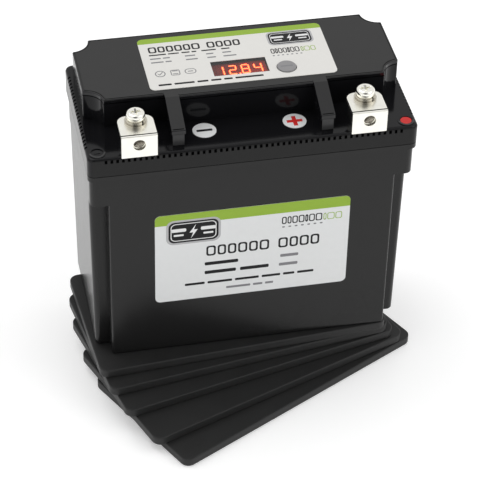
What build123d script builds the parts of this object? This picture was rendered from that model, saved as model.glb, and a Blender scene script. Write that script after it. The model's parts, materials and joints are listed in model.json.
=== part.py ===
from build123d import *
from math import cos, radians, sin
import os

# A motorcycle battery standing on five loose spacer pads, in millimetres.
# +Z is up, +X runs from the negative to the positive terminal, and -Y is the front.
# The origin is on the surface under the lowest pad, below the middle of the whole object.

# ---------------------------------------------------------------- driving dimensions

# battery: all heights are measured from the underside of its case
LENGTH = 175.0
WIDTH = 87.0
DECK = 137.0                  # flat deck of the lid, level with its rim
PLATEAU_TOP = 154.0           # raised housing of the meter
RIM_HEIGHT = 11.5
RIM_BASE = DECK - RIM_HEIGHT
LEDGE = 3.0                     # ledge of the case that the rim stands on, flush with it
WALL = 2.6

# case
PANEL_X = 76.9                # half width of the raised front panel
PANEL_Y = 41.7
COLUMN_Y = 32.0               # the front corners are set back to here
BODY_BASE_X = 84.8            # half length at the base, below a slight draft
BODY_TOP_X = 86.0
BODY_CORNER = 3.0
PANEL_EDGE = 1.2
FLANGE_X = 86.5
FLANGE_BASE = 105.0
FLANGE_CORNER = 4.0
TONGUE_X = 84.8               # the upper edge of the case, inside the lid's rim
TONGUE_Y = 40.8
TONGUE_TOP = 133.5
TONGUE_WALL = 1.9
TONGUE_GAP = 0.3

# lid
RIM_CORNER = 4.0
RIM_EDGE = 1.8
SEAM = 0.35                     # chamfer that leaves a line between the rim and the ledge
DECK_THICKNESS = 3.0
PLATEAU_X = 84.5
PLATEAU_FRONT = -15.9
PLATEAU_BACK = 40.0
PLATEAU_STEP = 2.9            # the middle of the plateau's front stands further out
STEP_X = 37.0
BITE = 9.5                    # radius of the round bite out of each plateau corner
PLATEAU_EDGE = 0.8
RIB_X = 39.4
RIB_WIDTH = 7.3
RIB_FRONT = -38.8
RIB_FRONT_Z = 146.6
SHADOW_GAP = 0.6              # groove between the plateau and its cover
NOTCH = (1.4, 1.6, 2.1)       # width, depth and height of a notch under the rim's edge
NOTCH_PITCH = 3.0
NOTCH_Z = (134.9, 136.6)         # middle height of a notch on the long and on the short sides
NOTCHES_LONG = 53
NOTCHES_SHORT = 22
BOSS = (81.7, -37.6)          # polarity marks on the front corners of the deck
BOSS_R = 4.3
BOSS_RING = 1.0
BOSS_HEIGHT = 0.5
BOSS_SIGN = (3.2, 0.9, 0.3)     # raised minus sign inside the left mark
RED_DOT_R = 2.95

# meter cover
COVER_THICKNESS = 2.2
COVER_EDGE = 0.6
COVER_LINE = (0.75, 0.5, 0.45)  # groove round the cover: distance from the edge, width, depth
WINDOW = (29.6, 13.2)
WINDOW_AT = (0.4, 1.6)
DISPLAY = (28.6, 12.2)
BUTTON_AT = (24.8, -2.8)
BUTTON_R = 5.1
BUTTON_CLEARANCE = 0.3
BUTTON_PROUD = 0.9
BUTTON_FLANGE_R = 6.4
BUTTON_FLANGE = 1.0
BUTTON_EDGE = 0.4
BUTTON_TRAVEL = 0.8

# printed labels and marks
LABEL_THICKNESS = 0.25
TOP_LABEL = (100.0, 47.0)
TOP_LABEL_AT = (0.6, 11.5)
FRONT_LABEL = (106.0, 60.0)
FRONT_LABEL_AT = (0.2, 64.4)
LABEL_CORNER = 3.0
DISC_R = 6.25
DISC_AT = (24.0, -28.0)

# terminals, one at each front corner
TERMINAL_X = 60.5
BRACKET_WIDTH = 18.7
BRACKET_FRONT = -43.3
BRACKET_BACK = -25.2
BRACKET_TOP = 149.4
BRACKET_BASE = 136.1
PLATE = 2.0
BACK_CORNER = 5.0
LOW_CORNER = 0.4
BEND = 0.8
BEND_MARK = (20.0, 0.5, 0.45)   # groove across the bend: a little over the width, width, depth
HOLE_R = 3.25
HOLE_Z = 143.6
BOLT_Y = -31.1
POST = (15.0, 15.6)
POST_FOOT = (20.0, 14.5, 5.0)
THREAD_R = 3.0                # M6
TOP_THREAD_DEPTH = 8.5
FRONT_THREAD_DEPTH = 6.0
POCKET_GAP = 0.3

# terminal bolt, M6 x 12 with a round cross-recess head and captive washers
SHANK_R = 2.95
SHANK_LENGTH = 11.8
HEAD_R = 4.95
HEAD_HEIGHT = 4.0
HEAD_ROUND = 1.8
CROSS = (5.6, 1.3, 1.9)
WASHER_R = 6.0
WASHER = 1.2
WASHER_BORE_R = 3.02
SPRING_R = 5.3
SPRING = 1.6
SPRING_SPLIT = 1.0
SPLIT_TURN = 35.0
SHANK_CHAMFER = 0.6

# cells, four in a row and joined in series
CELL = (34.0, 66.0, 96.0)
CELL_CORNER = 3.0
CELL_PITCH = 37.0
CELL_BASE = 5.6
STUD_Y = 20.0
STUD_R = 3.0
STUD_LENGTH = 12.0
STUD_SEAT = (16.0, 12.0, 2.0)
BAR = (14.0, 2.0)             # width and thickness of the copper bars
BAR_HOLE_R = 3.2
NUT_ACROSS_R = 5.77
NUT = 5.0
NUT_HOLE_R = 3.1
FOAM_HEIGHT = 88.0
END_FOAM = (8.6, 58.0)
END_FOAM_Y = 2.0
LEAD_X = 57.0
LEAD_RISER_Y = -28.0
LEAD_FOOT_Y = -13.0
LEAD_TAB_Y = -38.0
LEAD_SCREW_Y = -34.0
LEAD_SCREW_R = 2.4
LEAD_HOLE_R = 2.6
LEAD_HEAD_R = 3.7
LEAD_SCREW_HEAD = 3.0
LEAD_SCREW_LENGTH = 6.0

# circuit board under the cover
BOARD = (140.0, 44.0, 1.6)
BOARD_Y = 12.0
BOARD_TOP = 144.0
BOARD_HOLES = (124.0, 32.0)
STANDOFF_R = 3.5
BOARD_SCREW_R = 1.4
BOARD_HEAD_R = 2.8
BOARD_CORNER = 2.0
BOARD_SCREW_HEAD = 2.0
BOARD_SCREW_LENGTH = 6.0
SWITCH = (6.0, 3.0)
SWITCH_PLUNGER_R = 1.75
TRANSISTORS = 6
TRANSISTOR = (8.0, 10.0, 2.4)
TRANSISTOR_PITCH = 14.0
TRANSISTOR_Y = 26.0
CONNECTOR = (16.0, 6.0, 5.0)
CONNECTOR_PITCH = 2.5
CHIP = (9.0, 1.4)
CHIP_AT = (-45.0, 12.0)
WIRE_R = 0.6
WIRE_BEND = 4.0
SENSE_Y = 10.0
SENSE_SPREAD = 0.75
SENSE_RISE = 118.0
SENSE_TURN = 126.0

# spacer pads, from the top one down: how far each is fanned out, and the point it turned about
PAD = (165.0, 84.0, 5.25)
PAD_CORNER = 5.0
PAD_EDGE = 0.7
PAD_GAP = 0.05
FAN = ((4.5, (77.0, -83.0)), (9.0, (60.0, -44.0)), (14.0, (65.0, -26.0)),
       (21.5, (71.0, -14.0)), (28.0, (71.0, -6.0)))

# ---------------------------------------------------------------- places

SIDES = (-1, 1)
PAD_PITCH = PAD[2] + PAD_GAP
STACK = len(FAN) * PAD_PITCH
COVER_BASE = PLATEAU_TOP - COVER_THICKNESS
LID_TOP = COVER_BASE - SHADOW_GAP
RIB_SHOULDER = PLATEAU_FRONT - PLATEAU_STEP
RIB_ROOT = PLATEAU_FRONT + PLATEAU_STEP
BUTTON_BASE = LID_TOP - BUTTON_CLEARANCE - BUTTON_FLANGE
POST_Y = BRACKET_FRONT + PLATE + POST[1] / 2
POST_BASE = DECK - DECK_THICKNESS - POST_FOOT[2]
POST_FOOT_Y = LEAD_TAB_Y + POST_FOOT[1] / 2
HEAD_BASE = BRACKET_TOP + WASHER + SPRING
CELL_TOP = CELL_BASE + CELL[2]
BAR_Z = CELL_TOP + STUD_SEAT[2]
END_FOAM_X = (3 * CELL_PITCH + CELL[0] + END_FOAM[0]) / 2
CONNECTOR_BASE = BOARD_TOP - BOARD[2] - CONNECTOR[2]


def pad_middle(angle, pivot):
    """Middle of a pad, from the battery's middle, once it has turned about its pivot."""
    turn = radians(angle)
    x, y = pivot
    return x - x * cos(turn) + y * sin(turn), y - x * sin(turn) - y * cos(turn)


def pad_reach(angle):
    """Half the box that a fanned pad fills along X and along Y."""
    turn = radians(angle)
    long_arm, short_arm = PAD[0] / 2 - PAD_CORNER, PAD[1] / 2 - PAD_CORNER
    return (long_arm * cos(turn) + short_arm * sin(turn) + PAD_CORNER,
            long_arm * sin(turn) + short_arm * cos(turn) + PAD_CORNER)


def middle_of_extent(axis, half_battery):
    """Middle of everything along one axis, from the battery's middle."""
    spans = [(-half_battery, half_battery)]
    for angle, pivot in FAN:
        middle, reach = pad_middle(angle, pivot)[axis], pad_reach(angle)[axis]
        spans.append((middle - reach, middle + reach))
    return (min(low for low, _ in spans) + max(high for _, high in spans)) / 2


CENTRE_X = -middle_of_extent(0, LENGTH / 2)
CENTRE_Y = -middle_of_extent(1, WIDTH / 2)


def at(x, y, z):
    """A point given from the middle of the battery's base."""
    return CENTRE_X + x, CENTRE_Y + y, STACK + z


def level(z, x=0.0, y=0.0):
    """Horizontal plane at height z over the battery's base."""
    return Plane(at(x, y, z))


def facing_front(y, x=0.0, z=0.0):
    """Upright plane that faces the front; its own y is height."""
    return Plane(origin=at(x, y, z), x_dir=(1, 0, 0), z_dir=(0, -1, 0))


def facing_right(x, z=0.0):
    """Upright plane across the battery at x; its own x runs to the back and its y is height."""
    return Plane(origin=at(x, 0, z), x_dir=(0, 1, 0), z_dir=(1, 0, 0))


def body_profile(z, half_x, inset=0.0):
    """Section of the case under its flange: a block with a raised panel on its front."""
    back, column, panel = PANEL_Y - inset, COLUMN_Y - inset, PANEL_Y - inset
    with BuildSketch(level(z)) as profile:
        with Locations((0, (back - column) / 2)):
            RectangleRounded(2 * (half_x - inset), back + column, BODY_CORNER)
        with Locations((0, -panel / 2)):
            RectangleRounded(2 * (PANEL_X - inset), panel, PANEL_EDGE)
    return profile.sketch


def plateau_outline(z, inset=0.0):
    """Plateau outline with a stepped front and a round bite out of each corner."""
    front, back, half_x = PLATEAU_FRONT + inset, PLATEAU_BACK - inset, PLATEAU_X - inset
    with BuildSketch(level(z)) as outline:
        with Locations((0, (front + back) / 2)):
            Rectangle(2 * half_x, back - front)
        with Locations((0, front)):
            Rectangle(2 * (STEP_X - inset), 2 * PLATEAU_STEP)
        with Locations(*[(side * PLATEAU_X, y) for side in SIDES
                         for y in (PLATEAU_FRONT, PLATEAU_BACK)]):
            Circle(BITE + inset, mode=Mode.SUBTRACT)
        fillet(outline.vertices(), PLATEAU_EDGE)
    return outline.sketch


# ---------------------------------------------------------------- case and lid

with BuildPart() as case:
    loft(sections=[body_profile(0, BODY_BASE_X), body_profile(FLANGE_BASE, BODY_TOP_X)])
    fillet(case.edges().group_by(Axis.Z)[0], PANEL_EDGE)
    with BuildSketch(level(FLANGE_BASE)):
        RectangleRounded(2 * FLANGE_X, 2 * PANEL_Y, FLANGE_CORNER)
    extrude(amount=RIM_BASE - FLANGE_BASE)
    with BuildSketch(level(RIM_BASE - LEDGE)):
        RectangleRounded(LENGTH, WIDTH, RIM_CORNER)
    extrude(amount=LEDGE)
    with BuildSketch(level(RIM_BASE)):
        RectangleRounded(2 * TONGUE_X, 2 * TONGUE_Y, RIM_CORNER)
    extrude(amount=TONGUE_TOP - RIM_BASE)
    # the inside follows the outside up to the flange, and is a plain box above it
    extrude(to_extrude=body_profile(WALL, BODY_BASE_X, inset=WALL),
            amount=FLANGE_BASE, mode=Mode.SUBTRACT)
    with BuildSketch(level(FLANGE_BASE + WALL)):
        RectangleRounded(2 * (TONGUE_X - WALL), 2 * (TONGUE_Y - TONGUE_WALL), RIM_CORNER)
    extrude(amount=TONGUE_TOP - FLANGE_BASE - WALL, mode=Mode.SUBTRACT)

with BuildPart() as lid:
    with BuildSketch(level(RIM_BASE)):
        RectangleRounded(LENGTH, WIDTH, RIM_CORNER)
    extrude(amount=RIM_HEIGHT)
    fillet(lid.edges().group_by(Axis.Z)[-1], RIM_EDGE)
    chamfer(lid.edges().group_by(Axis.Z)[0], SEAM)
    # plateau walls and ribs, up to the shadow gap under the cover
    extrude(to_extrude=plateau_outline(DECK), amount=LID_TOP - DECK)
    with BuildSketch(*[facing_right(side * RIB_X) for side in SIDES]):
        Polygon((RIB_ROOT, DECK), (RIB_FRONT + SHADOW_GAP, DECK),
                (RIB_FRONT + SHADOW_GAP, RIB_FRONT_Z - COVER_THICKNESS - SHADOW_GAP),
                (RIB_SHOULDER, LID_TOP), (RIB_ROOT, LID_TOP), align=None)
    extrude(amount=RIB_WIDTH / 2 - SHADOW_GAP, both=True)
    # inside of the rim and of the plateau
    with BuildSketch(level(RIM_BASE)):
        RectangleRounded(2 * (TONGUE_X + TONGUE_GAP), 2 * (TONGUE_Y + TONGUE_GAP), RIM_CORNER)
    extrude(amount=RIM_HEIGHT - DECK_THICKNESS, mode=Mode.SUBTRACT)
    extrude(to_extrude=plateau_outline(DECK - DECK_THICKNESS, inset=WALL),
            amount=PLATEAU_TOP - DECK + DECK_THICKNESS, mode=Mode.SUBTRACT)
    # terminal openings, each with a shallow pocket for the front plate of the bracket
    with BuildSketch(*[level(DECK - DECK_THICKNESS, side * TERMINAL_X, POST_Y) for side in SIDES]):
        Rectangle(*POST)
    extrude(amount=2 * DECK_THICKNESS, mode=Mode.SUBTRACT)
    with BuildSketch(*[level(BRACKET_BASE, side * TERMINAL_X, BRACKET_FRONT + PLATE)
                       for side in SIDES]):
        Rectangle(BRACKET_WIDTH + POCKET_GAP, 2 * WALL, align=(Align.CENTER, Align.MAX))
    extrude(amount=DECK_THICKNESS, mode=Mode.SUBTRACT)
    # notches all round, just under the top edge of the rim
    long_sides = [facing_front(side * WIDTH / 2, z=NOTCH_Z[0]) for side in SIDES]
    short_sides = [facing_right(side * LENGTH / 2, z=NOTCH_Z[1]) for side in SIDES]
    for planes, count in ((long_sides, NOTCHES_LONG), (short_sides, NOTCHES_SHORT)):
        with BuildSketch(*planes):
            with GridLocations(NOTCH_PITCH, 1, count, 1):
                Rectangle(NOTCH[0], NOTCH[2])
        extrude(amount=NOTCH[1], both=True, mode=Mode.SUBTRACT)
    # round polarity bosses on the front corners
    with BuildSketch(*[level(DECK - BOSS_HEIGHT, side * BOSS[0], BOSS[1]) for side in SIDES]):
        Circle(BOSS_R)
        Circle(BOSS_R - BOSS_RING, mode=Mode.SUBTRACT)
    extrude(amount=2 * BOSS_HEIGHT)
    with BuildSketch(level(DECK, -BOSS[0], BOSS[1])):
        Rectangle(BOSS_SIGN[0], BOSS_SIGN[1])
    extrude(amount=BOSS_SIGN[2])

# groove along the edge of the cover, broken where the ribs start
groove = (plateau_outline(PLATEAU_TOP, inset=COVER_LINE[0])
          - plateau_outline(PLATEAU_TOP, inset=COVER_LINE[0] + COVER_LINE[1]))
for side in SIDES:
    groove -= level(PLATEAU_TOP, side * RIB_X, RIB_SHOULDER) * Rectangle(RIB_WIDTH,
                                                                         4 * PLATEAU_STEP)

with BuildPart() as top_cover:
    extrude(to_extrude=plateau_outline(COVER_BASE), amount=COVER_THICKNESS)
    fillet(top_cover.edges().group_by(Axis.Z)[-1], COVER_EDGE)
    with BuildSketch(*[facing_right(side * RIB_X) for side in SIDES]):
        Polygon((RIB_ROOT, PLATEAU_TOP), (RIB_SHOULDER, PLATEAU_TOP), (RIB_FRONT, RIB_FRONT_Z),
                (RIB_FRONT, RIB_FRONT_Z - COVER_THICKNESS), (RIB_SHOULDER, COVER_BASE),
                (RIB_ROOT, COVER_BASE), align=None)
    extrude(amount=RIB_WIDTH / 2, both=True)
    rib_ends = top_cover.edges().filter_by(Axis.X).group_by(Axis.Y)[0]
    fillet(rib_ends.sort_by(Axis.Z)[-2:], COVER_EDGE)
    extrude(to_extrude=groove, amount=-COVER_LINE[2], mode=Mode.SUBTRACT)
    with BuildSketch(*[level(RIB_FRONT_Z - COVER_LINE[2] / 2, side * RIB_X,
                             RIB_FRONT + COVER_LINE[0] + COVER_LINE[1] / 2) for side in SIDES]):
        Rectangle(RIB_WIDTH - 2 * COVER_LINE[0], COVER_LINE[1])
    extrude(amount=COVER_THICKNESS, mode=Mode.SUBTRACT)
    # step that seats the cover on the plateau's walls
    extrude(to_extrude=plateau_outline(LID_TOP, inset=PLATEAU_EDGE), amount=SHADOW_GAP)
    with BuildSketch(level(LID_TOP, *WINDOW_AT)):
        Rectangle(*WINDOW)
    extrude(amount=2 * COVER_THICKNESS, mode=Mode.SUBTRACT)
    with BuildSketch(level(LID_TOP, *BUTTON_AT)):
        Circle(BUTTON_R + BUTTON_CLEARANCE)
    extrude(amount=2 * COVER_THICKNESS, mode=Mode.SUBTRACT)
    # standoffs for the circuit board
    with BuildSketch(level(BOARD_TOP, y=BOARD_Y)):
        with GridLocations(*BOARD_HOLES, 2, 2):
            Circle(STANDOFF_R)
            Circle(BOARD_SCREW_R, mode=Mode.SUBTRACT)
    extrude(amount=LID_TOP - BOARD_TOP)

# ---------------------------------------------------------------- meter and circuit board

with BuildPart() as circuit_board:
    with BuildSketch(level(BOARD_TOP - BOARD[2], y=BOARD_Y)):
        RectangleRounded(BOARD[0], BOARD[1], BOARD_CORNER)
        with GridLocations(*BOARD_HOLES, 2, 2):
            Circle(BOARD_SCREW_R, mode=Mode.SUBTRACT)
    extrude(amount=BOARD[2])

with BuildPart() as board_screws:
    with BuildSketch(level(BOARD_TOP - BOARD[2], y=BOARD_Y)):
        with GridLocations(*BOARD_HOLES, 2, 2):
            Circle(BOARD_HEAD_R)
    extrude(amount=-BOARD_SCREW_HEAD)
    with BuildSketch(level(BOARD_TOP - BOARD[2], y=BOARD_Y)):
        with GridLocations(*BOARD_HOLES, 2, 2):
            Circle(BOARD_SCREW_R)
    extrude(amount=BOARD_SCREW_LENGTH)

with BuildPart() as display_module:
    with BuildSketch(level(BOARD_TOP, *WINDOW_AT)):
        Rectangle(*DISPLAY)
    extrude(amount=LID_TOP - BOARD_TOP)

with BuildPart() as display_window:
    with BuildSketch(level(LID_TOP, *WINDOW_AT)):
        Rectangle(*WINDOW)
    extrude(amount=PLATEAU_TOP - LID_TOP)

with BuildPart() as test_button:
    with BuildSketch(level(BUTTON_BASE, *BUTTON_AT)):
        Circle(BUTTON_FLANGE_R)
    extrude(amount=BUTTON_FLANGE)
    with BuildSketch(level(BUTTON_BASE, *BUTTON_AT)):
        Circle(BUTTON_R)
    extrude(amount=PLATEAU_TOP + BUTTON_PROUD - BUTTON_BASE)
    fillet(test_button.edges().group_by(Axis.Z)[-1], BUTTON_EDGE)

with BuildPart() as button_switch:
    with BuildSketch(level(BOARD_TOP, *BUTTON_AT)):
        Rectangle(SWITCH[0], SWITCH[0])
    extrude(amount=SWITCH[1])
    with BuildSketch(level(BOARD_TOP, *BUTTON_AT)):
        Circle(SWITCH_PLUNGER_R)
    extrude(amount=BUTTON_BASE - BUTTON_TRAVEL - BUTTON_CLEARANCE - BOARD_TOP)

with BuildPart() as balance_transistors:
    with BuildSketch(level(BOARD_TOP - BOARD[2], y=TRANSISTOR_Y)):
        with GridLocations(TRANSISTOR_PITCH, 1, TRANSISTORS, 1):
            Rectangle(TRANSISTOR[0], TRANSISTOR[1])
    extrude(amount=-TRANSISTOR[2])

with BuildPart() as wire_connector:
    with BuildSketch(level(BOARD_TOP - BOARD[2], y=BOARD_Y)):
        Rectangle(CONNECTOR[0], CONNECTOR[1])
    extrude(amount=-CONNECTOR[2])

with BuildPart() as controller_chip:
    with BuildSketch(level(BOARD_TOP, *CHIP_AT)):
        Rectangle(CHIP[0], CHIP[0])
    extrude(amount=CHIP[1])

# ---------------------------------------------------------------- labels and polarity marks

with BuildPart() as top_label:
    with BuildSketch(level(PLATEAU_TOP)):
        with Locations(TOP_LABEL_AT):
            RectangleRounded(*TOP_LABEL, LABEL_CORNER)
        with Locations(WINDOW_AT):
            Rectangle(*WINDOW, mode=Mode.SUBTRACT)
        with Locations(BUTTON_AT):
            Circle(BUTTON_R + BUTTON_CLEARANCE, mode=Mode.SUBTRACT)
    extrude(amount=LABEL_THICKNESS)

with BuildPart() as front_label:
    with BuildSketch(facing_front(-PANEL_Y)):
        with Locations(FRONT_LABEL_AT):
            RectangleRounded(*FRONT_LABEL, LABEL_CORNER)
    extrude(amount=LABEL_THICKNESS)

with BuildPart() as negative_mark:
    with BuildSketch(level(DECK, -DISC_AT[0], DISC_AT[1])):
        Circle(DISC_R)
    extrude(amount=LABEL_THICKNESS)

with BuildPart() as positive_mark:
    with BuildSketch(level(DECK, *DISC_AT)):
        Circle(DISC_R)
    extrude(amount=LABEL_THICKNESS)

with BuildPart() as red_corner_dot:
    with BuildSketch(level(DECK, *BOSS)):
        Circle(RED_DOT_R)
    extrude(amount=BOSS_HEIGHT / 2)

# ---------------------------------------------------------------- cells and their wiring

cells = {}
for number in range(4):
    with BuildPart() as cell:
        with BuildSketch(level(CELL_BASE, (number - 1.5) * CELL_PITCH)):
            RectangleRounded(CELL[0], CELL[1], CELL_CORNER)
        extrude(amount=CELL[2])
        with BuildSketch(level(CELL_TOP, (number - 1.5) * CELL_PITCH)):
            with GridLocations(1, 2 * STUD_Y, 1, 2):
                Rectangle(STUD_SEAT[0], STUD_SEAT[1])
        extrude(amount=STUD_SEAT[2])
        with BuildSketch(level(BAR_Z, (number - 1.5) * CELL_PITCH)):
            with GridLocations(1, 2 * STUD_Y, 1, 2):
                Circle(STUD_R)
        extrude(amount=STUD_LENGTH)
    cells[f"cell_{number + 1}"] = cell

with BuildPart() as cell_separators:
    with BuildSketch(level(CELL_BASE)):
        with GridLocations(CELL_PITCH, 1, 3, 1):
            Rectangle(CELL_PITCH - CELL[0], END_FOAM[1])
    extrude(amount=FOAM_HEIGHT)

with BuildPart() as end_foams:
    with BuildSketch(level(CELL_BASE)):
        with Locations(*[(side * END_FOAM_X, END_FOAM_Y) for side in SIDES]):
            Rectangle(*END_FOAM)
    extrude(amount=FOAM_HEIGHT)

with BuildPart() as base_foam:
    with BuildSketch(level(WALL)):
        RectangleRounded(3 * CELL_PITCH + CELL[0], CELL[1], CELL_CORNER)
    extrude(amount=CELL_BASE - WALL)

with BuildPart() as bus_bars:
    with BuildSketch(level(BAR_Z)):
        for x, y in ((-CELL_PITCH, STUD_Y), (0, -STUD_Y), (CELL_PITCH, STUD_Y)):
            with Locations((x, y)):
                RectangleRounded(CELL_PITCH + BAR[0], BAR[0], BAR[1])
                with GridLocations(CELL_PITCH, 1, 2, 1):
                    Circle(BAR_HOLE_R, mode=Mode.SUBTRACT)
    extrude(amount=BAR[1])

with BuildPart() as cell_nuts:
    with BuildSketch(level(BAR_Z + BAR[1])):
        with GridLocations(CELL_PITCH, 2 * STUD_Y, 4, 2):
            RegularPolygon(NUT_ACROSS_R, 6)
            Circle(NUT_HOLE_R, mode=Mode.SUBTRACT)
    extrude(amount=NUT)

leads = {}
for name, side in (("negative_lead", -1), ("positive_lead", 1)):
    with BuildPart() as lead:
        # a strap with a foot on the cell's stud, a riser and a tab under the terminal post
        with BuildSketch(facing_right(side * LEAD_X)):
            Polygon((LEAD_FOOT_Y, BAR_Z), (LEAD_FOOT_Y, BAR_Z + BAR[1]),
                    (LEAD_RISER_Y, BAR_Z + BAR[1]), (LEAD_RISER_Y, POST_BASE),
                    (LEAD_TAB_Y, POST_BASE), (LEAD_TAB_Y, POST_BASE - BAR[1]),
                    (LEAD_RISER_Y - BAR[1], POST_BASE - BAR[1]), (LEAD_RISER_Y - BAR[1], BAR_Z),
                    align=None)
        extrude(amount=BAR[0] / 2, both=True)
        with BuildSketch(level(BAR_Z, side * 1.5 * CELL_PITCH, -STUD_Y)):
            Circle(BAR_HOLE_R)
        extrude(amount=BAR[1], mode=Mode.SUBTRACT)
        with BuildSketch(level(POST_BASE, side * LEAD_X, LEAD_SCREW_Y)):
            Circle(LEAD_HOLE_R)
        extrude(amount=-BAR[1], mode=Mode.SUBTRACT)
    leads[name] = lead

with BuildPart() as lead_screws:
    with BuildSketch(*[level(POST_BASE - BAR[1], side * LEAD_X, LEAD_SCREW_Y) for side in SIDES]):
        Circle(LEAD_HEAD_R)
    extrude(amount=-LEAD_SCREW_HEAD)
    with BuildSketch(*[level(POST_BASE - BAR[1], side * LEAD_X, LEAD_SCREW_Y) for side in SIDES]):
        Circle(LEAD_SCREW_R)
    extrude(amount=LEAD_SCREW_LENGTH)

with BuildPart() as sense_wires:
    # one thin wire from each junction of the series to the connector under the board
    for number, y in enumerate((-SENSE_Y, SENSE_Y, -SENSE_Y, SENSE_Y, -SENSE_Y)):
        x = (number - 2) * CELL_PITCH * SENSE_SPREAD
        entry = (number - 2) * CONNECTOR_PITCH
        with BuildLine():
            FilletPolyline(at(x, y, BAR_Z + BAR[1]), at(x, y, SENSE_RISE),
                           at(entry, BOARD_Y, SENSE_TURN), at(entry, BOARD_Y, CONNECTOR_BASE),
                           radius=WIRE_BEND)
        with BuildSketch(level(BAR_Z + BAR[1], x, y)):
            Circle(WIRE_R)
        sweep()

# ---------------------------------------------------------------- terminals

terminals = {}
for pole, side in (("negative", -1), ("positive", 1)):
    x = side * TERMINAL_X

    with BuildPart() as post:
        with BuildSketch(level(DECK - DECK_THICKNESS, x, POST_Y)):
            Rectangle(*POST)
        extrude(amount=BRACKET_TOP - PLATE - DECK + DECK_THICKNESS)
        with BuildSketch(level(POST_BASE, x, POST_FOOT_Y)):
            Rectangle(POST_FOOT[0], POST_FOOT[1])
        extrude(amount=POST_FOOT[2])
        with BuildSketch(level(BRACKET_TOP - PLATE, x, BOLT_Y)):
            Circle(THREAD_R)
        extrude(amount=-TOP_THREAD_DEPTH, mode=Mode.SUBTRACT)
        with BuildSketch(facing_front(BRACKET_FRONT + PLATE, x, HOLE_Z)):
            Circle(THREAD_R)
        extrude(amount=-FRONT_THREAD_DEPTH, mode=Mode.SUBTRACT)
        with BuildSketch(level(POST_BASE, side * LEAD_X, LEAD_SCREW_Y)):
            Circle(LEAD_HOLE_R)
        extrude(amount=LEAD_SCREW_LENGTH, mode=Mode.SUBTRACT)
    terminals[f"{pole}_post"] = post

    with BuildPart() as bracket:
        # an L of plate: the top carries the bolt and the front has a plain hole
        with BuildSketch(facing_right(x)):
            Polygon((BRACKET_BACK, BRACKET_TOP), (BRACKET_BACK, BRACKET_TOP - PLATE),
                    (BRACKET_FRONT + PLATE, BRACKET_TOP - PLATE),
                    (BRACKET_FRONT + PLATE, BRACKET_BASE), (BRACKET_FRONT, BRACKET_BASE),
                    (BRACKET_FRONT, BRACKET_TOP), align=None)
        extrude(amount=BRACKET_WIDTH / 2, both=True)
        upright_edges = bracket.edges().filter_by(Axis.Z).group_by(Axis.Y)
        fillet(upright_edges[-1], BACK_CORNER)
        low_edges = bracket.edges().filter_by(Axis.Y).group_by(Axis.Z)
        fillet(low_edges[0], LOW_CORNER)
        bend = bracket.edges().filter_by(Axis.X).group_by(Axis.Y)[0].group_by(Axis.Z)[-1]
        fillet(bend, BEND)
        with BuildSketch(level(BRACKET_TOP, x, BRACKET_FRONT + BEND + BEND_MARK[1])):
            Rectangle(BEND_MARK[0], BEND_MARK[1])
        extrude(amount=-BEND_MARK[2], mode=Mode.SUBTRACT)
        with BuildSketch(level(BRACKET_TOP, x, BOLT_Y)):
            Circle(HOLE_R)
        extrude(amount=-PLATE, mode=Mode.SUBTRACT)
        with BuildSketch(facing_front(BRACKET_FRONT, x, HOLE_Z)):
            Circle(HOLE_R)
        extrude(amount=-PLATE, mode=Mode.SUBTRACT)
    terminals[f"{pole}_bracket"] = bracket

    with BuildPart() as flat_washer:
        with BuildSketch(level(BRACKET_TOP, x, BOLT_Y)):
            Circle(WASHER_R)
            Circle(WASHER_BORE_R, mode=Mode.SUBTRACT)
        extrude(amount=WASHER)
    terminals[f"{pole}_flat_washer"] = flat_washer

    with BuildPart() as spring_washer:
        with BuildSketch(level(BRACKET_TOP + WASHER, x, BOLT_Y)):
            Circle(SPRING_R)
            Circle(WASHER_BORE_R, mode=Mode.SUBTRACT)
            Rectangle(SPRING_SPLIT, SPRING_R, align=(Align.CENTER, Align.MAX), rotation=SPLIT_TURN,
                      mode=Mode.SUBTRACT)
        extrude(amount=SPRING)
    terminals[f"{pole}_spring_washer"] = spring_washer

    with BuildPart() as bolt:
        with BuildSketch(level(HEAD_BASE, x, BOLT_Y)):
            Circle(HEAD_R)
        extrude(amount=HEAD_HEIGHT)
        fillet(bolt.edges().group_by(Axis.Z)[-1], HEAD_ROUND)
        with BuildSketch(level(HEAD_BASE + HEAD_HEIGHT, x, BOLT_Y)):
            Rectangle(CROSS[0], CROSS[1])
            Rectangle(CROSS[1], CROSS[0])
        extrude(amount=-CROSS[2], mode=Mode.SUBTRACT)
        with BuildSketch(level(HEAD_BASE, x, BOLT_Y)):
            Circle(SHANK_R)
        extrude(amount=-SHANK_LENGTH)
        chamfer(bolt.edges().group_by(Axis.Z)[0], SHANK_CHAMFER)
    terminals[f"{pole}_bolt"] = bolt

# ---------------------------------------------------------------- spacer pads

pads = {}
for number, (angle, pivot) in enumerate(FAN):
    x, y = pad_middle(angle, pivot)
    underside = level(-(number + 1) * PAD_PITCH, x, y)
    with BuildPart() as pad:
        with BuildSketch(underside.rotated((0, 0, angle))):
            RectangleRounded(PAD[0], PAD[1], PAD_CORNER)
        extrude(amount=PAD[2])
        flat_edges = pad.edges().group_by(Axis.Z)
        fillet(flat_edges[0] + flat_edges[-1], PAD_EDGE)
    pads[f"spacer_{number + 1}"] = pad

# ---------------------------------------------------------------- output

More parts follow.
